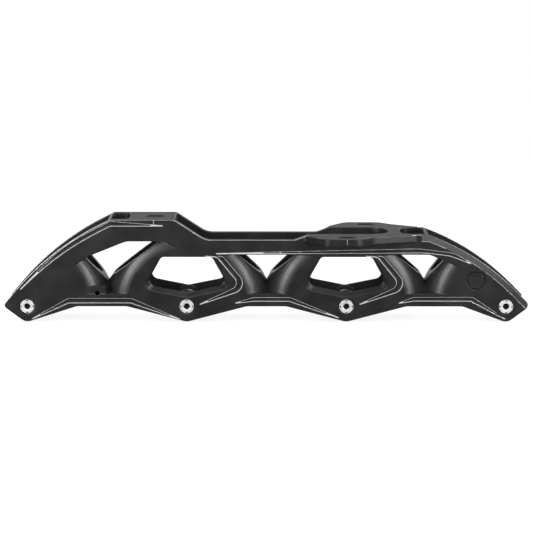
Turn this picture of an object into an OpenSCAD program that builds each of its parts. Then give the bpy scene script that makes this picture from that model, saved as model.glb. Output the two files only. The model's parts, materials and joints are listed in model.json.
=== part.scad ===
// Cast inline skate frame for four wheels, with its axle screws and thread inserts.
// X points forward to the toe, Y to the inner side of a right foot, Z up.
// The origin is on the floor, under the middle of the frame.

/* [Wheels and axles] */
// Distance between the first and the last axle
wheelbase = 335; // [325:1:345]
// Diameter of the largest wheel that fits
wheel_d = 110; // [106:0.5:110]
// Gap between the tread of the wheel and the frame
wheel_gap = 1.2; // [0.8:0.1:2]
// Width of a wheel hub with its two bearings
hub_w = 24; // [22:0.1:25]
// Gap between a hub and the boss on each wall
hub_gap = 0.1; // [0.05:0.05:0.3]
// Diameter of the boss round an axle, on the inside of the outer wall
boss_d = 22; // [18:0.5:24]
// Diameter of the boss round an insert, on the inside of the inner wall
insert_boss_d = 18; // [16:0.5:22]
// Diameter of the axle shank, the bore of a wheel bearing
axle_d = 8; // [7:0.1:8.4]
// Diameter of the axle head
head_d = 10; // [9.4:0.1:10.6]
// Thickness of the axle head
head_t = 2.8; // [2.2:0.1:3.2]
// Width across the corners of the hex socket in the head
socket_d = 4.6; // [3.5:0.1:5.5]
// Depth of the hex socket
socket_depth = 2.2; // [1.5:0.1:3.5]
// Diameter of the axle thread
thread_d = 7.8; // [6.8:0.1:7.9]
// Thread pitch
thread_pitch = 1; // [0.75:0.25:1.25]
// Gap all round between the axle and what it slides through
axle_fit = 0.05; // [0.03:0.01:0.08]
// Gap all round the axle head in its recess
head_gap = 0.45; // [0.3:0.05:0.6]
// How far the head lies below the face of the wall
head_sink = 0.2; // [0.1:0.1:0.5]

/* [Thread inserts] */
// Diameter of an insert
insert_d = 12; // [11:0.1:13]
// Diameter of the insert flange on the outer face
flange_d = 14; // [13.4:0.1:15]
// Thickness of the flange
flange_t = 1.2; // [0.8:0.1:2]
// Gap all round an insert in its seat
insert_fit = 0.01; // [0.01:0.01:0.03]
// How far the end of the axle stays inside the insert
axle_end_sink = 0.8; // [0.4:0.1:1.5]

/* [Walls] */
// Width over the two walls
frame_w = 36; // [35:0.2:38]
// Thickness of a wall
wall_t = 4.6; // [4:0.1:5]
// How far the round feet under the axles reach below the axle line
foot_drop = 10.7; // [10:0.1:12]
// Radius of the feet
foot_r = 7; // [5:0.5:9]
// Height of the bottom edge between the feet above the axle line
belly_h = 0.15; // [0:0.05:1.5]
// Height of the middle rail above the axle line
rail_top_h = 47.3; // [46:0.1:48.5]
// Distance from an end axle to the corner of the tip
tip_reach = 17.1; // [16:0.1:18.5]
// Depth of the styling grooves
groove_depth = 1; // [0.6:0.1:1.6]
// Height of the bevel on the front top edge
bevel_h = 4.6; // [3.5:0.1:5.5]
// Width of that bevel
bevel_w = 3.5; // [2.5:0.1:4]

/* [Scoops between the wheels] */
// Ring radius of the round shell that wraps each tyre
shell_ring_r = 40.3; // [40:0.1:40.8]
// Radius of the wheel clearance at which the walls start to close in
bay_ring_r = 42; // [41:0.5:43]
// Height of the ledge under a scoop above the axle line
ledge_h = 9; // [8:0.1:10]
// Height of the underside of the rail above the axle line
rail_low_h = 36.9; // [36.5:0.1:37.3]
// Thickness of the tie along the underside of the rail
tie_t = 3; // [2.5:0.1:3.4]

/* [Windows] */
// Height of the top of a five-sided window above the axle line
window_top_h = 35; // [33:0.1:35.2]
// Half width of the window at its top
window_top_half = 17.3; // [15:0.1:18]
// Half width of the window at its lower corners
window_low_half = 28.3; // [26:0.1:29]
// Height of the lower corners above the axle line
window_corner_h = 15.1; // [14.5:0.1:17]
// Height of the lowest point of the window above the axle line
window_low_h = 9.4; // [9.2:0.1:11]
// How much wider the window is on the outer face
window_flare = 2.4; // [1.5:0.1:2.8]

/* [Boot mounts] */
// Distance from the rear slot to the middle of the front pair
mount_length = 141.4; // [138:0.2:145]
// How far the middle of the mounts is behind the middle of the frame
mount_back = 7.6; // [5:0.2:10]
// Distance between the front slots across the frame
mount_width = 55; // [53:0.2:57]
// How much further forward the inner front slot is than the outer one
mount_stagger = 15.7; // [13:0.1:18]
// Length of a mounting slot
slot_l = 14.2; // [12:0.1:15]
// Width of a mounting slot
slot_w = 6.5; // [6:0.1:7]
// Height of the rear deck above the axle line
rear_deck_h = 61.4; // [60.5:0.1:63]
// Height of the front deck above the axle line
front_deck_h = 50.9; // [50:0.1:52]
// Thickness of the decks
deck_t = 5; // [4:0.1:5.4]
// Distance from the middle of the frame to the edge of an ear
ear_reach = 36; // [35:0.2:38]

/* [Accessory pad] */
// Diameter of the hole in the pad beside the rear wheel
pad_hole_d = 3.3; // [2.5:0.1:4]
// Depth of that hole
pad_hole_depth = 6; // [4:0.5:7]

/* [Hidden] */
$fn = 64;
chord_gap = 0.05; // how far a chord may lie off the arc it stands for
over = 0.4;       // overlap of pieces of one casting, and overshoot of cuts
skim = 0.04;      // overshoot of a cut that only skims a face
far = 60;         // beyond every face of the frame
chassis_colour = "#232326";
axle_colour = "#c9ccd0";
insert_colour = "#9a9da2";

pitch = wheelbase / 3;
axle_x = [-wheelbase / 2, -pitch / 2, pitch / 2, wheelbase / 2];
axle_h = foot_drop;
outer = frame_w / 2;
inner = outer - wall_t;
boss_face = hub_w / 2 + hub_gap;
wheel_r = wheel_d / 2;
bay_r = wheel_r + wheel_gap;

rear_slot_x = -mount_back - mount_length / 2;
front_mid_x = -mount_back + mount_length / 2;
// Side -1 is the outer wall of the frame, and 1 the inner wall
function ear_x(side) = front_mid_x + side * mount_stagger / 2;
function bay_x(i) = (axle_x[i] + axle_x[i + 1]) / 2;

// Head seat, shank and thread along Y
head_face = -outer + head_sink;
seat_y = head_face + head_t;
axle_end = outer - axle_end_sink;
thread_start = boss_face;

// Points that round a corner: each vertex of an outline is [x, z, radius]
function flat2(v) = [v[0], v[1]];
function unit(v) = v / norm(v);
function arc_steps(turn, r) = max(2, ceil(abs(turn) / (2 * acos(1 - chord_gap / r))));
function corner(a, b, c, r, steps) = r == 0 ? [b] :
    let (u = unit(a - b), w = unit(c - b), half = acos(u * w) / 2,
         centre = arc_centre(a, b, c, r),
         from = b + u * r / tan(half) - centre,
         side = u[0] * w[1] - u[1] * w[0] > 0 ? -1 : 1,
         turn = side * (180 - 2 * half),
         n = steps == 0 ? arc_steps(turn, r) : steps)
    [for (i = [0 : n])
        let (t = turn * i / n)
        centre + [from[0] * cos(t) - from[1] * sin(t), from[0] * sin(t) + from[1] * cos(t)]];
function arc_centre(a, b, c, r) =
    let (u = unit(a - b), w = unit(c - b)) b + unit(u + w) * r / sin(acos(u * w) / 2);
// Half the angle at a corner, and the length that a fillet there takes up on both legs
function half_angle(a, b, c) = acos(unit(a - b) * unit(c - b)) / 2;
function fillet_l(a, b, c, r) = r / tan(half_angle(a, b, c));
// Radius of an arc that takes up this share of the shorter leg at its corner, or less where the
// fillets at the legs' far ends, which take up the lengths in ends, need the room
function fitted_r(a, b, c, share, ends) =
    let (legs = [norm(a - b), norm(c - b)],
         room = min(legs[0] - ends[0], legs[1] - ends[1]) - fillet_gap)
    min(share * min(legs), room) * tan(half_angle(a, b, c));
function rounded(v, steps = 0) = let (n = len(v))
    [for (i = [0 : n - 1])
        each corner(flat2(v[(i + n - 1) % n]), flat2(v[i]), flat2(v[(i + 1) % n]), v[i][2], steps)];
function moved(v, dx) = [for (p = v) [for (k = [0 : len(p) - 1]) k == 0 ? p[0] + dx : p[k]]];

// A slab between two depths, from an outline drawn in X and Z
module slab(y0, y1) {
    translate([0, y1, 0]) rotate([90, 0, 0]) linear_extrude(y1 - y0) children();
}

// A solid that turns about an axle line, from a profile of radius and depth
module about_axle(i) {
    translate([axle_x[i], 0, 0]) rotate([90, 0, 0]) rotate_extrude($fn = 128) children();
}

module rod(i, d, y0, y1) {
    translate([axle_x[i], y1, 0]) rotate([90, 0, 0]) cylinder(d = d, h = y1 - y0);
}

// The corner of a foot, between flanks that leave the floor at these angles
function foot(i, back_angle, front_angle) =
    let (z0 = foot_r - foot_drop,
         x = foot_r * (1 / cos(front_angle) - 1 / cos(back_angle)) / (tan(back_angle) + tan(front_angle)))
    [axle_x[i] + x, z0 - foot_r / cos(back_angle) - x * tan(back_angle), foot_r];
// Where a flank that leaves the foot at this angle meets the bottom edge
function belly(i, angle, side) =
    let (rise = belly_h + foot_drop - foot_r + foot_r / cos(angle))
    [axle_x[i] + side * rise / tan(angle), belly_h, belly_r];

tip_angle = 34.6;
rear_angle = 17.9;
mid_angle = 14.8;
front_angle = 20.4;
belly_r = 8;
tip_h = 0.6;
tip_r = 2.9;
fillet_gap = 0.3;     // least straight length between two fillets
deck_back = 30.2;     // from the rear slot back to the end of the rear deck
deck_front = 14.3;    // from the rear slot forward to the end of the rear deck
drop_length = 21.5;   // length of the slope from the rear deck to the rail
front_deck_end = 48.4; // from the middle of the front slots to the front edge of the deck
rise_start = 35.5;    // from an ear's slot back to where the rail starts to rise to the ear
rise_end = 26;        // from an ear's slot back to where the rail has risen

rear_tip = [axle_x[0] - tip_reach, tip_h];
rear_bend = [axle_x[0] + 18.2, 41.7];
rear_corner = [rear_slot_x - deck_back, rear_deck_h];
rear_corner_r = 3;
rear_arc_share = 0.88;
rear_arc_r = fitted_r(rear_corner, rear_bend, rear_tip, rear_arc_share, [
    fillet_l(rear_bend, rear_corner, [rear_slot_x, rear_deck_h], rear_corner_r),
    fillet_l(rear_bend, rear_tip, flat2(foot(0, tip_angle, rear_angle)), tip_r)]);
front_tip = [axle_x[3] + tip_reach, tip_h];
front_bend = [axle_x[3] - 19.2, 37.3];
front_corner = [front_mid_x + front_deck_end, front_deck_h];
front_corner_r = 5;
front_arc_share = 0.96;
front_arc_r = fitted_r(front_corner, front_bend, front_tip, front_arc_share, [
    fillet_l(front_bend, front_corner, [front_mid_x, front_deck_h], front_corner_r),
    fillet_l(front_bend, front_tip, flat2(foot(3, front_angle, tip_angle)), tip_r)]);
ear_end_x = front_corner[0] - 4;
// Both walls have this outline, apart from the step where the inner wall reaches its ear
wall_outline = rounded([
    [each rear_tip, tip_r],
    foot(0, tip_angle, rear_angle),
    belly(0, rear_angle, 1),
    belly(1, mid_angle, -1),
    foot(1, mid_angle, mid_angle),
    belly(1, mid_angle, 1),
    belly(2, mid_angle, -1),
    foot(2, mid_angle, mid_angle),
    belly(2, mid_angle, 1),
    belly(3, front_angle, -1),
    foot(3, front_angle, tip_angle),
    [each front_tip, tip_r],
    [each front_bend, front_arc_r],
    [each front_corner, front_corner_r],
    [ear_x(-1) - rise_end, front_deck_h, 5],
    [ear_x(-1) - rise_start, rail_top_h, 8],
    [rear_slot_x + deck_front + drop_length, rail_top_h, 14],
    [rear_slot_x + deck_front, rear_deck_h, 6],
    [each rear_corner, rear_corner_r],
    [each rear_bend, rear_arc_r]]);

// Recess between two wheels, as the outline of the hole in the flat wall, grown up and down by g
rear_rise = 9.4;      // how much higher the rail runs under the rear deck
pocket_r = shell_ring_r + 1.9;
function pocket(i, g) =
    i == 0 ? rounded([
        [axle_x[0], ledge_h - g, 0],
        [axle_x[1], ledge_h - g, 0],
        [axle_x[1] - 2, rail_low_h + 4, 0],
        [axle_x[1] - 16.2, rail_low_h + rear_rise + g, 0],
        [bay_x(0) + 14.2, rail_low_h + rear_rise + g, 14],
        [bay_x(0) - 12.8, rail_low_h - 1.5 + g, 0],
        [axle_x[0] + 30.5, 27.5 + g, 0],
        [axle_x[0] + 10, 20, 0]]) :
    i == 1 ? rounded([
        [axle_x[1], ledge_h - g, 0],
        [axle_x[2], ledge_h - g, 0],
        [axle_x[2], rail_low_h + g, 0],
        [axle_x[1], rail_low_h + g, 0]]) :
    rounded([
        [axle_x[2], ledge_h - g, 0],
        [axle_x[3], ledge_h - g, 0],
        [axle_x[3] - 10, 20, 0],
        [axle_x[3] - 30.5, 27.5 + g, 0],
        [bay_x(2) + 10, rail_low_h - 3.7 + g, 0],
        [bay_x(2) + 1.8, rail_low_h + g, 8],
        [axle_x[2], rail_low_h + g, 0]]);

module pocket_2d(i, g, keep_r) {
    difference() {
        polygon(pocket(i, g));
        for (k = [i, i + 1]) translate([axle_x[k], 0]) circle(keep_r, $fn = 128);
    }
}

// Three-cornered window in the web between two wheels, round a narrow notch
notch_h = 15.6;
function web_window(i) = moved(rounded(
    i == 0 ? [[0, notch_h, 0.6], [4.2, 21.4, 1], [37.5, rail_low_h + rear_rise, 0],
              [14.2, rail_low_h + rear_rise, 14], [-15.2, rail_low_h - 3, 0], [-4.2, 22, 2]] :
    i == 1 ? [[0, notch_h, 0.6], [3.7, 22, 1], [21, rail_low_h, 0],
              [-21, rail_low_h, 0], [-3.7, 22, 1]] :
             [[0, notch_h, 0.6], [3.8, 22, 2], [12.7, rail_low_h - 4.7, 0],
              [1.8, rail_low_h, 8], [-22.5, rail_low_h, 0], [-3.4, 21.4, 1]]), bay_x(i));

// Five-sided window over an inner axle, wider by f
window_steps = 5;     // runs in each of its rounded corners
function window(i, f) = moved(rounded([
    [0, window_low_h - 1.35 * f, 5],
    [window_low_half + f, window_corner_h - f, 4.5],
    [window_top_half + f / 2, window_top_h + f / 8, 4.5],
    [-window_top_half - f / 2, window_top_h + f / 8, 4.5],
    [-window_low_half - f, window_corner_h - f, 4.5]], window_steps), axle_x[i]);

// Cut for such a window through one wall, wider towards the outer face
module window_cut(i, side) {
    from = inner - over;
    to = outer + over;
    function flare(y) = window_flare * (y - inner) / wall_t;
    a = window(i, flare(from));
    b = window(i, flare(to));
    n = len(a);
    points = [for (p = a) [p[0], side * from, p[1]], for (p = b) [p[0], side * to, p[1]]];
    sides = [for (i = [0 : n - 1]) let (j = (i + 1) % n) each [[i, j, n + j], [i, n + j, n + i]]];
    caps = [[for (i = [0 : n - 1]) n - 1 - i], [for (i = [0 : n - 1]) n + i]];
    faces = concat(sides, caps);
    polyhedron(points, [for (f = faces) side < 0 ? [for (k = [len(f) - 1 : -1 : 0]) f[k]] : f]);
}

// The shell round a tyre, solid; the wheel bays hollow it out
shell_tube_r = outer + 0.07;
module shell_profile() {
    translate([shell_ring_r, 0]) circle(shell_tube_r, $fn = 128);
    translate([0, over - outer]) square([shell_ring_r, 2 * (outer - over)]);
}

// Room for a wheel: flat sides to the ring radius, then a round tread in short straight runs
tread_w = bay_r - bay_ring_r;
tread_r = (pow(inner, 2) + pow(tread_w, 2)) / (2 * inner);
tread_steps = 6;
module bay_profile() {
    turn = 90 - atan2(tread_r - inner, tread_w);
    side = [for (k = [0 : tread_steps - 1])
        let (t = turn * k / tread_steps)
        [bay_ring_r + tread_r * sin(t), inner - tread_r + tread_r * cos(t)]];
    polygon(concat(
        [[0, inner]], side, [[bay_r, 0]],
        [for (k = [tread_steps - 1 : -1 : 0]) [side[k][0], -side[k][1]]], [[0, -inner]]));
}

module walls() {
    bevelled(len(bevel_edge) - 1) slab(-outer, outer) difference() {
        polygon(wall_outline);
        for (i = [0 : 2]) pocket_2d(i, 0, pocket_r);
    }
}

// The inner wall rises later than the outer one, because its ear is further forward
module inner_step() {
    slab(inner - wall_t, far) polygon(rounded([
        [ear_x(-1) - rise_start - 3, rail_top_h - skim, 0],
        [ear_x(1) - rise_start, rail_top_h - skim, 8],
        [ear_x(1) - rise_end, front_deck_h + skim, 0],
        [ear_x(1) - rise_end, far, 0],
        [ear_x(-1) - rise_start - 3, far, 0]]));
}

module shells() {
    for (i = [0 : 2]) intersection() {
        slab(-outer - 1, outer + 1) pocket_2d(i, over, pocket_r - over / 2);
        union() {
            about_axle(i) shell_profile();
            about_axle(i + 1) shell_profile();
        }
    }
}

// Plan of an ear, from the middle of its slot and the middle of the frame
module ear(side) {
    tail = ear_end_x - ear_x(side);
    plan = rounded([
        [-rise_start, inner + 1, 0],
        [-rise_start, outer - 0.3, 0],
        [-28.5, outer - 0.3, 6],
        [-14.5, ear_reach, 8],
        [9.5, ear_reach, 10],
        [18, ear_reach - 8, 12],
        [tail, outer - 1.2, 0],
        [tail, inner + 1, 0]]);
    intersection() {
        translate([ear_x(side), 0, front_deck_h - deck_t])
            linear_extrude(far) polygon([for (p = plan) [p[0], side * p[1]]]);
        slab(-far, far) polygon([
            [ear_x(side) - rise_start, rail_top_h - deck_t],
            [ear_x(side) + far, rail_top_h - deck_t],
            [ear_x(side) + far, front_deck_h],
            [ear_x(side) - rise_end, front_deck_h],
            [ear_x(side) - rise_start, rail_top_h]]);
    }
}

// Open space between the walls: above the ties, but not where the decks are
bar_t = 2;
module channel() {
    slab(-inner, inner) difference() {
        polygon([
            [axle_x[0] - far, 20],
            [axle_x[0] + 28, 27.5 + tie_t / 2],
            [bay_x(0) - 13.5, rail_low_h - 1.5 + tie_t],
            [bay_x(0) + 13.5, rail_low_h + rear_rise + tie_t],
            [axle_x[1] - 16, rail_low_h + rear_rise + tie_t],
            [axle_x[1] - 6, rail_low_h + 7],
            [axle_x[1] + 16, rail_low_h + tie_t],
            [bay_x(2), rail_low_h + tie_t],
            [bay_x(2) + 12, rail_low_h - 3.7 + tie_t],
            [axle_x[3] - 28, 27.5 + tie_t / 2],
            [axle_x[3] + far, 20],
            [axle_x[3] + far, 2 * far],
            [axle_x[0] - far, 2 * far]]);
        translate([rear_slot_x - deck_back - bar_t, rear_deck_h - deck_t])
            square([deck_back + deck_front + bar_t, far]);
        translate([fork_end_x - inner, front_deck_h - deck_t])
            square([front_mid_x + front_deck_end + bar_t / 2 - fork_end_x + inner, far]);
    }
}

fork_end_x = front_mid_x + 23;
module deck_openings() {
    rear = rounded([
        [rear_slot_x - deck_back, -inner + 0.5, 1.5],
        [rear_slot_x - deck_back + 12.7, -inner + 0.5, 5],
        [rear_slot_x - deck_back + 12.7, inner - 0.5, 5],
        [rear_slot_x - deck_back, inner - 0.5, 1.5]]);
    front = rounded([
        [fork_end_x + 7.6, -inner + 1, 7],
        [front_mid_x + front_deck_end - bar_t / 2, -inner + 1, 1.5],
        [front_mid_x + front_deck_end - bar_t / 2, inner - 1, 1.5],
        [fork_end_x + 7.6, inner - 1, 7]]);
    translate([0, 0, rail_low_h + tie_t + 1]) {
        linear_extrude(far) polygon(rear);
        linear_extrude(far) polygon(front);
        translate([fork_end_x - inner, 0, 0]) cylinder(r = inner, h = far, $fn = 128);
    }
}

module slot(x, y) {
    translate([x, y, front_deck_h - 2 * deck_t]) linear_extrude(far) {
        square([slot_l - slot_w, slot_w], center = true);
        for (s = [-1, 1]) translate([s * (slot_l - slot_w) / 2, 0]) circle(d = slot_w);
    }
}

// Styling grooves on the outer face of a wall
function grooves() = [
    // along the rear top edge and into the deck
    [[axle_x[0] - 4.2, 12.4, 0], [axle_x[0] + 26.3, 43.4, 120], [rear_slot_x - 29.7, 60.2, 3],
     [rear_slot_x + 6, 57.3, 0], [rear_slot_x - 30.3, 57.3, 4], [axle_x[0] + 22.7, 38.3, 200]],
    // above the bottom edge, under each space between two wheels
    [[axle_x[0] + 3.7, -8.6, 0], [axle_x[0] + 28.9, 5.6, 4], [axle_x[1] - 38.6, 5.6, 4],
     [axle_x[1] - 5.1, -9, 0], [axle_x[1] - 39.2, 2.8, 4], [axle_x[0] + 29.2, 2.8, 4]],
    [[axle_x[1] + 34.5, 2.6, 0], [axle_x[1] + 46.4, 6.3, 3], [axle_x[2] - 39.5, 6.3, 4],
     [axle_x[2] - 5.5, -7.9, 0], [axle_x[2] - 40.3, 4.1, 4], [axle_x[1] + 47, 4.1, 3]],
    [[axle_x[2] + 37, 2.6, 0], [axle_x[2] + 46.8, 6.5, 3], [axle_x[3] - 23.5, 6.5, 4],
     [axle_x[3] - 0.8, -8.7, 0], [axle_x[3] - 25, 4.2, 4], [axle_x[2] + 47.5, 4.3, 3]],
    // round the front of the two windows
    for (i = [1, 2])
        moved([[9.5, 1.8, 0], [43.7, 13.4, 7], [25.3, 35.5, 4],
               [13.5, 35.9, 0], [21.6, 35.3, 3], [37.9, 15.2, 5]], axle_x[i]),
    // along the lower edge of the rail and under the front bevel
    [[axle_x[1] + 21.1, 37.7, 0], [axle_x[2] + 54.2, 38.5, 40], [axle_x[2] + 72, 36.4, 25],
     [axle_x[3] - 25.5, 30.8, 0], [axle_x[3] - 36.5, 37.8, 20], [axle_x[2] + 50.2, 41, 40]]];

ring_r = 6.5;
ring_w = 0.9;
module groove_cuts() {
    for (side = [-1, 1])
        slab(side < 0 ? -far : outer - groove_depth, side < 0 ? groove_depth - outer : far) {
            for (g = grooves()) polygon(rounded(g));
            translate([axle_x[3] - 21.4, 18.4]) difference() {
                circle(ring_r);
                circle(ring_r - ring_w);
            }
        }
}

// Bevel along the front top edge, from the end of the ears to the tip: one flat cut along each
// straight run of the edge, which its neighbours trim
bevel_lean = 0.82;    // height of the bevel square to the edge, as a share of its upright height
bevel_edge = concat(
    [[ear_end_x, front_deck_h]],
    corner([ear_end_x, front_deck_h], front_corner, front_bend, front_corner_r, 2),
    corner(front_corner, front_bend, front_tip, front_arc_r, 0),
    [front_tip]);
module bevel_run(k, side) {
    margin = 2;
    run = bevel_edge[k + 1] - bevel_edge[k];
    rise = bevel_h / bevel_w * (k == 0 ? 1 : bevel_lean);
    back = k == 0 ? 0 : margin;
    translate([bevel_edge[k][0], 0, bevel_edge[k][1]]) rotate([0, -atan2(run[1], run[0]), 0])
        translate([-back, 0, 0]) rotate([90, 0, 90]) linear_extrude(norm(run) + back + margin)
            polygon([[side * (outer - bevel_w - margin), rise * margin],
                     [side * (outer + margin), -rise * (bevel_w + margin)],
                     [side * (outer + margin), rise * margin]]);
}

// What it is given, with the bevel cut along the first n runs
module bevelled(n) {
    if (n == 0) children();
    else difference() {
        bevelled(n - 1) children();
        for (side = [-1, 1]) bevel_run(n - 1, side);
    }
}

// Small flat pad beside the rear wheel, for an accessory screw
pad_x = 49.3;         // from the rear axle
pad_half = 5.9;
pad_top_h = 14.3;
pad_hole_h = 9.4;
pad_sink = 0.6;       // how far the pad lies behind the face of the wall
pad_t = 7;
pad_root = 2;         // how far the pad reaches down into the wall
module pad() {
    translate([axle_x[0] + pad_x - pad_half, pad_sink - outer, ledge_h - pad_root])
        cube([2 * pad_half, pad_t, pad_top_h - ledge_h + pad_root]);
}

module pad_hole() {
    translate([axle_x[0] + pad_x, pad_hole_depth - outer, pad_hole_h])
        rotate([90, 0, 0]) cylinder(d = pad_hole_d, h = pad_hole_depth + 1);
}

// The casting with its decks and the open space under them
module blank() {
    difference() {
        union() {
            walls();
            shells();
            for (side = [-1, 1]) ear(side);
        }
        inner_step();
        channel();
        deck_openings();
    }
}

// The same with room for the wheels and with its windows
module hollowed() {
    difference() {
        blank();
        for (i = [0 : 3]) about_axle(i) bay_profile();
        for (i = [0 : 2]) slab(-far, far) polygon(web_window(i));
        for (i = [1, 2], side = [-1, 1]) window_cut(i, side);
    }
}

module chassis() {
    color(chassis_colour) translate([0, 0, axle_h]) difference() {
        union() {
            hollowed();
            for (i = [0 : 3]) {
                rod(i, insert_boss_d, boss_face, inner + over);
                rod(i, boss_d, -inner - over, -boss_face);
            }
            pad();
        }
        for (i = [0 : 3]) {
            rod(i, axle_d + 2 * axle_fit, -far, 0);
            rod(i, head_d + 2 * head_gap, -far, seat_y);
            rod(i, insert_d + 2 * insert_fit, 0, far);
            rod(i, flange_d + 2 * insert_fit, outer - flange_t, far);
        }
        slot(rear_slot_x, 0);
        for (side = [-1, 1]) slot(ear_x(side), side * mount_width / 2);
        groove_cuts();
        pad_hole();
    }
}

// Screw with a flat head that is its own axle: head, shank, and thread as ridges
thread_depth = 0.4;
module axle_screw(i) {
    ridges = floor((axle_end - thread_start) / thread_pitch - 0.5);
    color(axle_colour) translate([0, 0, axle_h]) difference() {
        union() {
            rod(i, head_d, head_face, seat_y);
            rod(i, axle_d, seat_y, thread_start - over);
            rod(i, thread_d - 2 * thread_depth, seat_y, axle_end);
            for (k = [0 : ridges - 1])
                rod(i, thread_d,
                    thread_start + (k + 0.25) * thread_pitch, thread_start + (k + 0.75) * thread_pitch);
        }
        translate([axle_x[i], head_face + socket_depth, 0]) rotate([90, 0, 0])
            cylinder(d = socket_d, h = far, $fn = 6);
    }
}

// Flanged steel insert that holds the thread in the inner wall
module thread_insert(i) {
    color(insert_colour) translate([0, 0, axle_h]) difference() {
        union() {
            rod(i, insert_d, boss_face, outer);
            rod(i, flange_d, outer - flange_t, outer);
        }
        rod(i, thread_d + 2 * axle_fit, 0, far);
    }
}

chassis();
for (i = [0 : 3]) {
    axle_screw(i);
    thread_insert(i);
}
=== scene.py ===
# %% [markdown]
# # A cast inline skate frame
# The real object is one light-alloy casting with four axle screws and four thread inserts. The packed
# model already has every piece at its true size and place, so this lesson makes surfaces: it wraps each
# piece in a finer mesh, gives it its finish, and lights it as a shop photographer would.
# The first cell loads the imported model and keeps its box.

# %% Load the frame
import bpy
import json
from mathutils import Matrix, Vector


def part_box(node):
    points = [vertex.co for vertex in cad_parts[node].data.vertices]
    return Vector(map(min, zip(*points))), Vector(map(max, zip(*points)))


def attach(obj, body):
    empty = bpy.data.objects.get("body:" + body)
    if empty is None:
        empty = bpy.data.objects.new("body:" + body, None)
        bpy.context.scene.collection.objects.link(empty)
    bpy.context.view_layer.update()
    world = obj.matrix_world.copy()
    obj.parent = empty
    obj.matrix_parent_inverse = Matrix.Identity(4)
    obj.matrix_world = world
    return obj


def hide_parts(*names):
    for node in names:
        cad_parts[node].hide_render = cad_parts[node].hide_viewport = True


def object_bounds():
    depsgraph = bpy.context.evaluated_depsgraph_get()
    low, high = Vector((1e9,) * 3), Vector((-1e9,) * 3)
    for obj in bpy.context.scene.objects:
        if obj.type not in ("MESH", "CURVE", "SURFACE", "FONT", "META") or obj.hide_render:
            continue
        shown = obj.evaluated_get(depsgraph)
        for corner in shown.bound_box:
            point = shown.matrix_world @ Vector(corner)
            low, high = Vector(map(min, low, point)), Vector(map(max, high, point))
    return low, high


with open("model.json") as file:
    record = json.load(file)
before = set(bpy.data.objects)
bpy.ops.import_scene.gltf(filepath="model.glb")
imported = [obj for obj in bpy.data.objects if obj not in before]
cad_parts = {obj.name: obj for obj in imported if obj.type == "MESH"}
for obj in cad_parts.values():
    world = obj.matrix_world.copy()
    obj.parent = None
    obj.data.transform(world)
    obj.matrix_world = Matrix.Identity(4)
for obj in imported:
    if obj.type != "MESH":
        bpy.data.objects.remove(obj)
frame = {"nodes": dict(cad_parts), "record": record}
cad_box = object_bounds()
print("nodes:", ", ".join(sorted(frame["nodes"])))

# %% [markdown]
# Sizes below are written in millimetres, as on a drawing, and MM turns them into Blender's metres. The
# Standard view shows each colour as it is, so the white floor comes out white.

# %% Tools and units
import json
import math

import bpy
import numpy as np
from mathutils import Vector
from mathutils.kdtree import KDTree

MM = 0.001
scene = bpy.context.scene
scene.view_settings.view_transform = "Standard"


def place(obj):
    """Puts a new object into the scene."""
    scene.collection.objects.link(obj)
    return obj


def millimetres(point):
    return [round(value / MM, 1) for value in point]


print("box in mm:", millimetres(cad_box[0]), "to", millimetres(cad_box[1]))

# %% [markdown]
# The camera comes first, because it decides how much detail shows. It stands more than a metre off the
# outer side, a little above the frame, and looks along the axles. A long lens keeps the near and the far
# wall almost the same size. The focal length is measured in pixels of the picture and turned into
# millimetres of Blender's sensor, so the framing doesn't depend on the render size.

# %% Camera
picture_px = 533
focal_px = 1652
view_target = Vector((-0.06, 0, 35.8)) * MM
view_distance = 1168 * MM
view_down = math.radians(11.2)
view_turn = math.radians(0.14)

lens = bpy.data.cameras.new("camera")
lens.sensor_width = 36
lens.lens = lens.sensor_width * focal_px / picture_px
lens.clip_end = 100
camera = place(bpy.data.objects.new("camera", lens))
view_line = Vector((
    -math.sin(view_turn) * math.cos(view_down),
    math.cos(view_turn) * math.cos(view_down),
    -math.sin(view_down),
))
camera.location = view_target - view_line * view_distance
camera.rotation_euler = view_line.to_track_quat("-Z", "Y").to_euler()
scene.camera = camera
print(f"camera: {lens.lens:.1f} mm lens at {millimetres(camera.location)} mm")

# %% [markdown]
# Every finish below is a small sum of noises and masks. Written node by node that takes pages, so one
# class wraps a socket and lets Python's operators add the Math nodes. All other nodes come from one
# method, which sets the node's options first and then fills or links its sockets.

# %% Shader arithmetic
class Field:
    """A value that changes over a surface: one output socket of a node tree."""

    def __init__(self, tree, socket=None):
        self.tree = tree
        self.socket = socket

    def node(self, kind, options=None, sockets=None, out=0):
        made = self.tree.nodes.new("ShaderNode" + kind)
        for name, value in (options or {}).items():
            setattr(made, name, value)
        for key, value in (sockets or {}).items():
            if isinstance(value, Field):
                self.tree.links.new(value.socket, made.inputs[key])
            else:
                made.inputs[key].default_value = value
        return Field(self.tree, made.outputs[out])

    def __add__(self, other):
        return self.node("Math", {"operation": "ADD"}, {0: self, 1: other})

    def __sub__(self, other):
        return self.node("Math", {"operation": "SUBTRACT"}, {0: self, 1: other})

    def __rsub__(self, other):
        return self.node("Math", {"operation": "SUBTRACT"}, {0: other, 1: self})

    def __mul__(self, other):
        return self.node("Math", {"operation": "MULTIPLY"}, {0: self, 1: other})

    __radd__ = __add__
    __rmul__ = __mul__


def above(value, low, high):
    """0 below low, 1 above high, and a smooth step between them. With low over high it steps down."""
    return value.node(
        "MapRange",
        {"interpolation_type": "SMOOTHSTEP"},
        {"Value": value, "From Min": low, "From Max": high},
    )


def noise(point, size, detail=2.0, roughness=0.5):
    """Cloudy noise around 0.5 whose blobs are about this size, in metres."""
    return point.node(
        "TexNoise", {}, {"Vector": point, "Scale": 1 / size, "Detail": detail, "Roughness": roughness}
    )


def stretched(point, factors):
    return point.node("VectorMath", {"operation": "MULTIPLY"}, {0: point, 1: factors})


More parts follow.
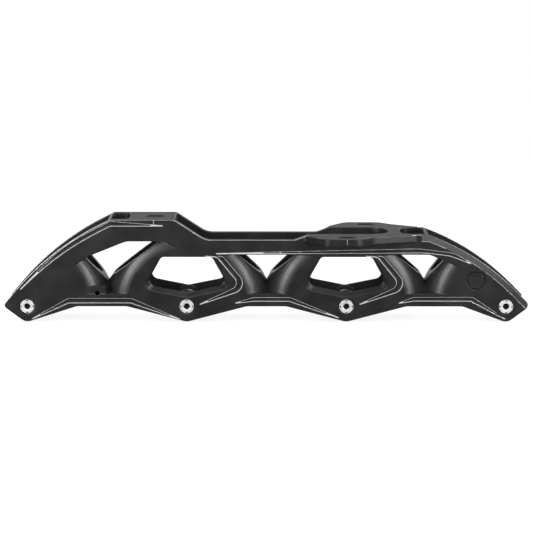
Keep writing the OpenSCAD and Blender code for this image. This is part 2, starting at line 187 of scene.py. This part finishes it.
def part_of(vector, axis):
    return vector.node("SeparateXYZ", {}, {0: vector}, out=axis)


def greater(first, second):
    return first.node("Math", {"operation": "MAXIMUM"}, {0: first, 1: second})


def blend_colours(share, first, second):
    return share.node("Mix", {"data_type": "RGBA"}, {0: share, 6: first, 7: second}, out=2)


def grey(level, blue=0.0):
    return (level, level, level * (1 + blue), 1)


def new_finish(name, **constants):
    """A material whose one shader has these constants. Returns the material and a Field to write with."""
    material = bpy.data.materials.new(name)
    material.use_nodes = True
    shader = material.node_tree.nodes["Principled BSDF"]
    for socket, value in constants.items():
        shader.inputs[socket.replace("_", " ").title().replace("Ior", "IOR")].default_value = value
    return material, Field(material.node_tree)


def feed(material, **fields):
    """Links fields to the shader's sockets."""
    tree = material.node_tree
    shader = tree.nodes["Principled BSDF"]
    for socket, field in fields.items():
        tree.links.new(field.socket, shader.inputs[socket.replace("_", " ").title()])


print("shader tools ready")

# %% [markdown]
# The casting comes out of its mould with soft corners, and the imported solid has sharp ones. A Bevel
# modifier needs tidy faces, and a solid made by cutting has long slivers. So a copy of the solid is
# remeshed into even cells of 0.3 mm, which wraps every wall alike, and two rounds of
# smoothing turn each sharp corner into a small fillet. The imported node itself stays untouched, hidden
# behind its copy.

# %% The casting's skin
skin_cell = 0.3 * MM
skin_rounds = 2


def baked(piece, name):
    """Turns an object's modifiers into mesh."""
    bpy.context.view_layer.update()
    mesh = bpy.data.meshes.new_from_object(piece.evaluated_get(bpy.context.evaluated_depsgraph_get()))
    mesh.name = name
    piece.modifiers.clear()
    piece.data = mesh


casting = place(bpy.data.objects.new("casting", frame["nodes"]["chassis"].data.copy()))
wrap = casting.modifiers.new("wrap", "REMESH")
wrap.mode = "VOXEL"
wrap.voxel_size = skin_cell
ease = casting.modifiers.new("ease", "SMOOTH")
ease.factor = 0.5
ease.iterations = skin_rounds
baked(casting, "casting")
print("casting:", len(casting.data.vertices), "points before thinning")

# %% [markdown]
# The edges of the styling grooves and of the top rim get a painted highlight: they are coloured as pale
# bare metal, so that they shine as thin lines whatever the lamps do. A fine line is struck beside the
# middle of each boot slot. To find edges, each point gets a number: one over the radius that the surface
# bends with there, above 0 on a ridge and below 0 in a hollow. It is worked out from each point's
# neighbours while the cells are still even. Cycles has a Pointiness output that looks alike, but it
# changes with the mesh and isn't a real size.

# %% Where the casting has edges
least_square = 1e-6


def read(collection, name, width, kind):
    values = np.empty(len(collection) * width, kind)
    collection.foreach_get(name, values)
    return values.reshape(-1, width)


def neighbour_pairs(mesh):
    first, second = read(mesh.edges, "vertices", 2, np.int32).T
    return np.concatenate((first, second)), np.concatenate((second, first))


def bend_at(places, normals, here, there):
    count = len(places)
    run = places[there] - places[here]
    turn = -2 * (run * normals[here]).sum(1) / np.maximum((run * run).sum(1), least_square)
    neighbours = np.maximum(np.bincount(here, minlength=count), 1)
    rough = np.bincount(here, turn, count) / neighbours
    return (rough + np.bincount(here, rough[there], count) / neighbours) / 2


here, there = neighbour_pairs(casting.data)
places = read(casting.data.vertices, "co", 3, np.float32) / MM
normals = read(casting.data.vertex_normals, "vector", 3, np.float32)
bend = bend_at(places, normals, here, there)
print("bend, per mm:", [round(float(value), 2) for value in np.percentile(bend, (1, 50, 90, 97, 99))])

# %% [markdown]
# Not every edge gets the painted highlight, so the highlighted ones are picked by where they are. The
# edges of the grooves come from the imported solid, because a groove runs out to a point much finer than
# a cell: they are where a side of the groove meets the wall's face, 1 mm above the groove's floor. Points
# are set along each such edge, and a tree of them tells how far any point of the skin is from the nearest.

# %% Edges of the grooves
wall_y = 18.0
groove_floor_y = 17.0
on_plane = 0.01
edge_step = 0.1


def groove_edges(mesh):
    """Points along every edge where a wall's face drops into a groove, in mm."""
    corners = read(mesh.vertices, "co", 3, np.float32) / MM
    mesh.calc_loop_triangles()
    triangles = read(mesh.loop_triangles, "vertices", 3, np.int32)
    depths = abs(corners[triangles][:, :, 1])
    high = abs(depths - wall_y) < on_plane
    low = abs(depths - groove_floor_y) < on_plane
    sides = (high.sum(1) == 2) & (low.sum(1) == 1)
    points = []
    for start, end in corners[triangles[sides][high[sides]].reshape(-1, 2)]:
        steps = int(np.linalg.norm(end - start) / edge_step) + 2
        points.extend(np.linspace(start, end, steps))
    return points


def nearest(points, chosen):
    """How far each chosen place is from the nearest of these points."""
    tree = KDTree(len(points))
    for i, point in enumerate(points):
        tree.insert(point, i)
    tree.balance()
    return np.array([tree.find(place_at)[2] for place_at in places[chosen].tolist()])


edge_points = groove_edges(frame["nodes"]["chassis"].data)
print("groove edges:", len(edge_points), "points")

# %% [markdown]
# A point of the skin gets the painted highlight if it lies within half a millimetre of a groove's edge.
# Where a scoop has cut the wall's face away, the groove's ridge is lower, and is found by its bend, a few
# cells from the groove's floor. The rim is the wall's outer edge, highlighted only where it looks up
# towards the lamps, either at deck height or out past the end wheels.

# %% Which edges get a painted highlight
edge_full = 0.22
edge_none = 0.45
ridge_bend = 0.3
wall_reach = 0.8
floor_reach = 0.15
floor_rings = 7
scoop_top_z = 46.0
tail_x = -140.0
rim_z = 52.0
rim_x = 139.0
faces_out = 0.4
faces_up = 0.2
faces_flat = 0.985


def spread(chosen, rings):
    """These points with so many rings of neighbours."""
    chosen = chosen.copy()
    for ring in range(rings):
        chosen[here[chosen[there]]] = True
    return chosen


x, y, z = places.T
depth = abs(y)
outward = normals[:, 1] * np.sign(y)
upward = normals[:, 2]
at_wall = (abs(depth - wall_y) < wall_reach) & (outward > faces_out)
rim = at_wall & (upward > faces_up) & ((z > rim_z) | (abs(x) > rim_x))
floors = (abs(depth - groove_floor_y) < floor_reach) & (abs(normals[:, 1]) > faces_flat)
floors &= (z < scoop_top_z) & (x > tail_x)
ridge = np.clip((bend - ridge_bend) / (2 * ridge_bend), 0, 1)
# Painted highlight: these numbers later colour the edges pale, standing in for the light that they catch.
painted_highlight_and_slot_lines = ridge * (rim | spread(floors, floor_rings))
away = nearest(edge_points, at_wall)
near_edge = np.clip((edge_none - away) / (edge_none - edge_full), 0, 1)
painted_highlight_and_slot_lines[at_wall] = np.maximum(painted_highlight_and_slot_lines[at_wall], near_edge)
print("bright points:", int((painted_highlight_and_slot_lines > 0).sum()), "of", len(painted_highlight_and_slot_lines))

# %% [markdown]
# The seats of the axle heads, the round mark near the toe and the front slots themselves get no painted
# highlight. The fine struck lines beside the slots stand where the mounts say that the slots are. The
# result goes into the mesh as a number per point, which the finish can read.

# %% Dull seats and slot lines
ring_at = (146.1, 29.1)
ring_reach = 9.0
head_reach = 8.0
slot_reach = (9.0, 5.0)
line_half = 0.2
line_length = 3.8
line_bright = 0.6
side_reach = 0.3

mounts = {mount["name"]: mount for mount in frame["record"]["mounts"]}
dull_discs = [(*ring_at, ring_reach)]
for name, mount in mounts.items():
    if name.startswith("wheel_"):
        wheel_x, _, wheel_z = millimetres(mount["pos_m"])
        dull_discs.append((wheel_x, wheel_z, head_reach))
for disc_x, disc_z, reach in dull_discs:
    painted_highlight_and_slot_lines[np.hypot(x - disc_x, z - disc_z) < reach] = 0
rear_x, _, rear_z = millimetres(mounts["rear_boot_slot"]["pos_m"])
front_x, _, front_z = millimetres(mounts["front_boot_slots"]["pos_m"])
front_slots = mounts["front_boot_slots"]["dims"]
ear_y = cad_box[1].y / MM
slot_lines = [(rear_x, np.sign(y) * wall_y, rear_z)]
for side in (-1, 1):
    slot_x = front_x + side * front_slots["spacing_x_mm"] / 2
    slot_y = side * front_slots["spacing_y_mm"] / 2
    painted_highlight_and_slot_lines[(abs(x - slot_x) < slot_reach[0]) & (abs(y - slot_y) < slot_reach[1])] = 0
    slot_lines.append((slot_x, side * ear_y, front_z))
for line_x, side_y, top_z in slot_lines:
    on_side = (abs(y - side_y) < side_reach) & (z > top_z - line_length)
    painted_highlight_and_slot_lines[on_side & (abs(x - line_x) < line_half)] = line_bright
# The stored number holds the painted edge highlight and the struck slot lines.
stored = casting.data.attributes.new("painted_highlight_and_slot_lines", "FLOAT", "POINT")
stored.data.foreach_set("value", painted_highlight_and_slot_lines.astype(np.float32))
print(len(dull_discs), "dull discs,", len(slot_lines), "slot lines")

# %% [markdown]
# A million even points are far more than flat walls need, so the mesh is thinned. Thinning everywhere
# alike would blur the painted edge highlights, because a long triangle that starts at an edge carries its
# number across the wall. So the highlighted points, with two rings of neighbours, are kept out of it by a
# group.
# Last, each point takes the direction of the largest faces around it, so that the long triangles of a flat
# wall shade flat right up to its fillets.

# %% Thin the flat walls
flat_faces = 180000
kept_rings = 2
flat_weight = 50

kept = spread(painted_highlight_and_slot_lines > 0, kept_rings)
flats = casting.vertex_groups.new(name="flats")
flats.add(np.flatnonzero(~kept).tolist(), 1.0, "REPLACE")
thin = casting.modifiers.new("thin", "DECIMATE")
thin.vertex_group = flats.name
thin.vertex_group_factor = 1.0
thin.ratio = min(1, (flat_faces + 2 * int(kept.sum())) / (2 * len(casting.data.polygons)))
baked(casting, "casting")
casting.vertex_groups.clear()
casting.data.materials.clear()
casting.data.polygons.foreach_set("use_smooth", np.ones(len(casting.data.polygons), bool))
flatten = casting.modifiers.new("flatten", "WEIGHTED_NORMAL")
flatten.mode = "FACE_AREA"
flatten.weight = flat_weight
baked(casting, "casting")
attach(casting, "frame")
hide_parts("chassis")
print("casting:", len(casting.data.polygons), "faces,", int(kept.sum()), "points kept at bright edges")

# %% [markdown]
# The casting's finish is a satin black coat over light alloy. Close up it isn't flat: it has a fine
# grain from the blasting before it was coated, faint clouds where the coat is thicker, fine lines along
# the machined decks and the struck lines by the slots. It also has a painted highlight: thin pale lines
# along the chosen outer edges, coloured as bare metal so that they shine whatever the lamps do. Each of
# those is one field here, and together they set the colour, the roughness, how metallic the surface is,
# and the bump.

# %% The casting's finish
coat_dark = grey(0.006, 0.06)
coat_light = grey(0.011, 0.05)
highlight_and_line_grey = grey(0.55, 0.02)
grain_size = 0.9 * MM
cloud_size = 14 * MM
fleck_size = 1.6 * MM
mill_size = 0.35 * MM
mill_stretch = (0.02, 1, 1)
coat_roughness = 0.37
bump_height = 0.08 * MM

black_coat, pen = new_finish("black_coat", specular_ior_level=0.5)
point = pen.node("TexCoord", out="Object")
normal = pen.node("NewGeometry", out="Normal")
highlight_and_lines_here = pen.node("Attribute", {"attribute_name": "painted_highlight_and_slot_lines"}, out="Fac")
grain = noise(point, grain_size, detail=4.0, roughness=0.6)
clouds = noise(point, cloud_size, detail=4.0)
flecks = noise(point, fleck_size, detail=3.0)
mill_lines = noise(stretched(point, mill_stretch), mill_size)
deck = above(part_of(normal, "Z"), 0.96, 0.995)
# Painted highlight: where the number is high the coat turns pale and partly metallic, so edges shine as
# lines.
painted_highlight_share = above(highlight_and_lines_here + (flecks - 0.5) * 0.4, 0.1, 0.9)
coat = blend_colours(above(clouds, 0.35, 0.7), coat_dark, coat_light)
deck_roughness = deck * (mill_lines * 0.3 + 0.1)
relief = grain + deck * mill_lines
feed(
    black_coat,
    base_color=blend_colours(painted_highlight_share * 0.85, coat, highlight_and_line_grey),
    metallic=painted_highlight_share * 0.3,
    roughness=coat_roughness + (clouds - 0.5) * 0.1 + (grain - 0.5) * 0.12 + deck_roughness,
    normal=pen.node("Bump", {}, {"Strength": 0.5, "Distance": bump_height, "Height": relief}),
)
casting.data.materials.append(black_coat)
print("black coat:", len(black_coat.node_tree.nodes), "nodes")

# %% [markdown]
# The axle screws are turned parts, so they are drawn like turned parts: rings of points round the axle's
# own line, from the floor of the key socket out over the head, down the shank and along the thread.
# A ring's radius may change with the angle, and that one freedom makes the six-sided socket and the
# thread, which climbs one pitch a turn. A Screw modifier could turn a profile too, but not these two.

# %% Turning rings into a mesh
ring_points = 96
sharp_angle = math.radians(32)
thread_steps = 8
thread_top = 1.6
thread_slope = 4.4
ring_angles = np.arange(ring_points) * 2 * math.pi / ring_points


def turned(name, rings, closed=False):
    """A mesh from rings of (depth, radius) in mm round the Y axis, each a number or one per angle.
    The first and last rings are capped, or joined to each other if closed."""
    points = []
    for depth, radius in rings:
        radius = np.broadcast_to(np.asarray(radius, float), ring_points)
        depth = np.broadcast_to(np.asarray(depth, float), ring_points)
        points.append(np.stack((radius * np.sin(ring_angles), depth, radius * np.cos(ring_angles)), 1))
    points = np.concatenate(points) * MM
    count = len(rings)
    faces = []
    for ring in range(count if closed else count - 1):
        below = ring * ring_points
        after = (ring + 1) % count * ring_points
        for i in range(ring_points):
            j = (i + 1) % ring_points
            faces.append((below + i, after + i, after + j, below + j))
    if not closed:
        last = (count - 1) * ring_points
        faces.append(tuple(range(ring_points)))
        faces.append(tuple(last + i for i in reversed(range(ring_points))))
    mesh = bpy.data.meshes.new(name)
    mesh.from_pydata(points.tolist(), [], faces)
    mesh.polygons.foreach_set("use_smooth", np.ones(len(faces), bool))
    mesh.update()
    mesh.set_sharp_from_angle(angle=sharp_angle)
    return mesh


def hexagon(across_flats):
    return across_flats / 2 / np.cos((ring_angles + math.pi / 6) % (math.pi / 3) - math.pi / 6)


def thread(start, end, pitch, crest, root, run_out):
    """Rings of a screw thread that fades in over run_out, as (depth, radius per angle)."""
    rings = []
    for depth in np.arange(start, end, pitch / thread_steps):
        turn = (depth / pitch - ring_angles / (2 * math.pi)) % 1
        height = np.clip(thread_top - thread_slope * abs(turn - 0.5), 0, 1)
        height = height * np.clip((depth - start) / run_out, 0, 1)
        rings.append((depth, root + (crest - root) * height))
    return rings


print("one turned ring has", ring_points, "points")

# %% [markdown]
# Each axle is a screw and a bearing seat in one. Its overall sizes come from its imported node. The head
# has a broken edge, a turned step round the key socket and four short centre marks struck on its rim.

# %% Axle screws
names = ("rear", "mid_rear", "mid_front", "front")
axle_low, axle_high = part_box("axle_rear")
head_r = (axle_high.x - axle_low.x) / 2 / MM
head_y = axle_low.y / MM
end_y = axle_high.y / MM
head_thick = 2.8
shank_r = 4.0
key_flats = 4.0
key_depth = 2.2
step_r = 2.9
thread_r = 3.9
thread_root_r = 3.5
thread_from = 12.1
pitch = 1.0
run_out = 0.6
undercut = 0.2
tip_chamfer = 0.5
break_edge = 0.25
centre_r = 0.02
drill_point = 0.5
socket_draft = 0.96
lead_in = 0.35
lead_in_wide = 0.42
step_depth = 0.12
step_slope = 0.1
mark_slope = 0.05
mark_r = (3.9, 4.55)
mark_half = math.radians(9)
mark_depth = 0.4


def struck(depth, sink):
    """The head's face at this depth, sunk by sink at four short marks round the rim."""
    off_mark = abs((ring_angles + math.pi / 4) % (math.pi / 2) - math.pi / 4)
    return depth + sink * (off_mark < mark_half)


def axle_rings():
    face = head_y
    return [
        (face + key_depth + drill_point, centre_r),
        (face + key_depth, hexagon(key_flats) * socket_draft),
        (face + lead_in, hexagon(key_flats)),
        (face + step_depth, key_flats / 2 + lead_in_wide),
        (face + step_depth, step_r),
        (face, step_r + step_slope),
        (face, mark_r[0] - mark_slope),
        (struck(face, mark_depth), mark_r[0]),
        (struck(face, mark_depth), mark_r[1]),
        (face, mark_r[1] + mark_slope),
        (face, head_r - break_edge),
        (face + break_edge, head_r),
        (face + head_thick, head_r),
        (face + head_thick, shank_r),
        (thread_from - run_out, shank_r),
        (thread_from - run_out + undercut, thread_root_r),
        *thread(thread_from, end_y - run_out, pitch, thread_r, thread_root_r, run_out),
        (end_y - tip_chamfer, thread_root_r),
        (end_y, thread_root_r - tip_chamfer),
        (end_y, centre_r),
    ]


axle_mesh = turned("axle_screw", axle_rings())
for name in names:
    low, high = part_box("axle_" + name)
    axle = place(bpy.data.objects.new("axle_screw_" + name, axle_mesh))
    axle.location = ((low.x + high.x) / 2, 0, (low.z + high.z) / 2)
    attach(axle, f"axle_{name}_body")
    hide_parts("axle_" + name)

# %% [markdown]
# An insert is a steel bush pressed into the inner wall, with the thread that holds the axle. It is a
# ring, so its profile closes on itself: along the flange and body outside, and back along the thread.

# %% Thread inserts
insert_low, insert_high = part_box("insert_rear")
flange_r = (insert_high.x - insert_low.x) / 2 / MM
insert_y = (insert_low.y / MM, insert_high.y / MM)
flange_thick = 1.2
insert_r = 6.0
bore_r = 3.95
groove_r = 4.3
mouth = 0.5
mouth_chamfer = 0.4
nose_break = 0.2
flange_break = 0.3
dish_depth = 0.12
dish_rim = 0.4
dish_slope = 0.1
at_once = 0.01


def insert_rings():
    near, far = insert_y
    inside = thread(near + mouth, far - mouth, pitch, bore_r, groove_r, at_once)
    return [
        (near, bore_r + mouth_chamfer),
        (near, insert_r - nose_break),
        (near + nose_break, insert_r),
        (far - flange_thick, insert_r),
        (far - flange_thick, flange_r),
        (far - flange_break, flange_r),
        (far, flange_r - flange_break),
        (far, insert_r - dish_rim),
        (far - dish_depth, insert_r - dish_rim - dish_slope),
        (far - dish_depth, bore_r + mouth),
        *reversed(inside),
    ]


insert_mesh = turned("thread_insert", insert_rings(), closed=True)
for name in names:
    low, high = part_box("insert_" + name)
    insert = place(bpy.data.objects.new("thread_insert_" + name, insert_mesh))
    insert.location = ((low.x + high.x) / 2, 0, (low.z + high.z) / 2)
    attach(insert, "frame")
    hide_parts("insert_" + name)

# %% [markdown]
# Both steel finishes show the lathe: fine rings round the axis, which on a flat face are circles and
# along the shank are bands. One noise along the distance from the axis plus the depth draws both.
# Plated axles are brighter than the bare inserts. The colour turns near black in the axles' key sockets
# and struck marks and inside the inserts' threads, and each kind says where with a small function.

# %% Turned steel
lathe_step = 0.12 * MM
smudge_size = 1.5 * MM
lathe_height = 0.02 * MM
recess_dark = grey(0.02)
dark_soft = 0.2
sunk_range = (0.15, 0.3)
head_range = (1.0, 0.8)
mark_soft = 0.1
bore_thread_dark = 0.8


def turned_steel(name, clean, dull, roughness, darkening):
    steel, pen = new_finish(name, metallic=1.0)
    point = pen.node("TexCoord", out="Object")
    depth = part_of(point, "Y")
    from_axis = pen.node(
        "VectorMath", {"operation": "LENGTH"}, {0: stretched(point, (1, 0, 1))}, out="Value"
    )
    lathe = pen.node(
        "TexNoise",
        {"noise_dimensions": "1D"},
        {"W": from_axis + depth, "Scale": 1 / lathe_step, "Detail": 2.0},
    )
    smudges = noise(point, smudge_size, detail=3.0)
    colour = blend_colours(above(smudges, 0.3, 0.75), clean, dull)
    feed(
        steel,
        base_color=blend_colours(darkening(from_axis, depth), colour, recess_dark),
        roughness=roughness + (lathe - 0.5) * 0.25 + (smudges - 0.5) * 0.15,
        normal=pen.node("Bump", {}, {"Strength": 0.3, "Distance": lathe_height, "Height": lathe}),
    )
    return steel


# Near black inside the key socket and in the four struck marks on the head.
def dark_in_socket_and_marks(from_axis, depth):
    socket = above(from_axis, (key_flats / 2 + dark_soft) * MM, key_flats / 2 * MM)
    sunk = above(depth, (head_y + sunk_range[0]) * MM, (head_y + sunk_range[1]) * MM)
    in_head = above(depth, (head_y + head_range[0]) * MM, (head_y + head_range[1]) * MM)
    in_ring = above(from_axis, (mark_r[1] + mark_soft) * MM, mark_r[1] * MM)
    in_ring = in_ring * above(from_axis, step_r * MM, mark_r[0] * MM)
    return greater(socket, sunk * in_head * in_ring)


# Darker on the thread inside the bore, nearer the axis than the thread's roots.
def dark_in_bore_thread(from_axis, depth):
    return above(from_axis, groove_r * MM, (groove_r - dark_soft) * MM) * bore_thread_dark


axle_mesh.materials.append(
    turned_steel("plated_axle_steel", grey(0.86), grey(0.64), 0.62, dark_in_socket_and_marks)
)
insert_mesh.materials.append(turned_steel("insert_steel", grey(0.5), grey(0.36), 0.4, dark_in_bore_thread))
print("steel finishes on", axle_mesh.name, "and", insert_mesh.name)

# %% [markdown]
# The floor is a plain white sheet that runs to the horizon. The camera sees it as white, and the frame's
# shadow still falls on it: near the frame part of its white is light that the lamps throw, which the
# shadow takes away, and further off it is all its own. A reflection sees it as white too, but for the
# stretch next to the frame, where a photographer lays black card so that black walls stay black.

# %% Floor
floor_half = 30.0
own_white_range = (0.25, 1.0)
card_range = (0.6, 2.0)
card_dark = 0.06
near_glow = grey(0.84)
lamp_grey = grey(0.16)
floor_mesh = bpy.data.meshes.new("floor")
floor_corners = [(x * floor_half, y * floor_half, 0) for x, y in ((-1, -1), (1, -1), (1, 1), (-1, 1))]
floor_mesh.from_pydata(floor_corners, [], [(0, 1, 2, 3)])
floor = place(bpy.data.objects.new("floor", floor_mesh))
floor.location.z = cad_box[0].z


def show(tree, field, output):
    """Makes this shader the one the material or world shows."""
    tree.links.new(field.socket, tree.nodes[output].inputs["Surface"])


def ray_is(pen, kind):
    return pen.node("LightPath", out=f"Is {kind} Ray")


white_sheet, pen = new_finish("white_sheet", base_color=grey(0.6), roughness=1.0, specular_ior_level=0.0)
plain = Field(pen.tree, pen.tree.nodes["Principled BSDF"].outputs[0])
point = pen.node("TexCoord", out="Object")
distance = pen.node("VectorMath", {"operation": "LENGTH"}, {0: point}, out="Value")
own_white = above(distance, *own_white_range)
past_card = card_dark + (1 - card_dark) * above(distance, *card_range)
lamp_lit = pen.node("BsdfDiffuse", {}, {"Color": lamp_grey})
near_white = pen.node("AddShader", {}, {0: pen.node("Emission", {}, {"Color": near_glow}), 1: lamp_lit})
far_white = pen.node("Emission", {}, {"Color": grey(1.0)})
shown = pen.node("MixShader", {}, {0: own_white, 1: near_white, 2: far_white})
mirrored = pen.node("Emission", {}, {"Color": past_card})
behind = pen.node("MixShader", {}, {0: ray_is(pen, "Glossy"), 1: plain, 2: mirrored})
seen = greater(ray_is(pen, "Camera"), ray_is(pen, "Transmission"))
show(pen.tree, pen.node("MixShader", {}, {0: seen, 1: behind, 2: shown}), "Material Output")
floor_mesh.materials.append(white_sheet)
print("floor:", 2 * floor_half, "m square")

# %% [markdown]
# A black satin object is lit by what it mirrors more than by the light that falls on it. Behind the
# frame everything is white, so the flat decks, seen at a low angle, turn grey. In front of it the room
# is dark, so the walls stay black, and two tall soft lamps at the sides draw an upright band of light
# into every rounded scoop. Two more do the same for the far wall, for a look from behind. A wide lamp
# overhead lights the top edges, and one high up past the toe is mirrored by the bevel that runs down
# there. The last two stand high behind, where the round corners of the windows' flares mirror them.

# %% Lamps
def soft_lamp(name, place_at, aim, width, height, watts):
    light = bpy.data.lights.new(name, "AREA")
    light.shape = "RECTANGLE"
    light.size = width
    light.size_y = height
    light.energy = watts
    lamp = place(bpy.data.objects.new(name, light))
    lamp.location = place_at
    lamp.rotation_euler = (Vector(aim) - Vector(place_at)).to_track_quat("-Z", "Y").to_euler()
    lamp.visible_camera = False
    return lamp


middle = (0, 0, 0.04)
lamps = [
    soft_lamp("lamp_heel_side", (-0.85, -1.05, 0.32), middle, 0.3, 0.6, 13),
    soft_lamp("lamp_toe_side", (0.85, -1.05, 0.32), middle, 0.3, 0.6, 13),
    soft_lamp("lamp_heel_back", (-0.95, 1.0, 0.4), middle, 0.55, 0.8, 8),
    soft_lamp("lamp_toe_back", (0.95, 1.0, 0.4), middle, 0.55, 0.8, 8),
    soft_lamp("lamp_top", (0, -0.5, 1.15), middle, 1.6, 0.7, 10),
    soft_lamp("lamp_toe_top", (1.05, 0.2, 1.15), middle, 0.8, 0.8, 8),
    soft_lamp("lamp_heel_rim", (-1.15, 0.78, 0.85), middle, 0.45, 0.45, 13),
    soft_lamp("lamp_toe_rim", (1.15, 0.78, 0.85), middle, 0.45, 0.45, 13),
]
print(len(lamps), "lamps")

# %% [markdown]
# The room itself is a world shader. The camera sees white everywhere. A mirror-like ray sees white only
# low down at the back of the room, with soft edges to the dark front half and to a grey ceiling.
# Scattered light gets an even low level, so no hollow is ever fully black.

# %% Room
room = bpy.data.worlds.new("room")
scene.world = room
room.use_nodes = True
pen = Field(room.node_tree)
room_light = 0.35
front_dark = 0.06
ceiling_grey = 0.45
back_white = 1.0
direction = pen.node("TexCoord", out="Generated")
backward = part_of(direction, "Y")
upward = part_of(direction, "Z")
to_back = above(backward, -0.05, 0.35) * above(upward, 0.5, 0.05)
overhead = above(upward, 0.4, 0.8)
mirrored = front_dark + (back_white - front_dark) * to_back + (ceiling_grey - front_dark) * overhead
lit = room_light + (mirrored - room_light) * ray_is(pen, "Glossy")
seen = greater(ray_is(pen, "Camera"), ray_is(pen, "Transmission"))
room_grey = lit + (1 - lit) * seen
show(pen.tree, pen.node("Background", {}, {"Color": room_grey, "Strength": 1.0}), "World Output")
print("room: white behind,", front_dark, "in front")

# %% [markdown]
# Last, the view layer is brought up to date. The dressed pieces' box should match the imported model's to
# a fraction of a millimetre, because the finer meshes only rounded its edges.

# %% Update the scene
bpy.context.view_layer.update()
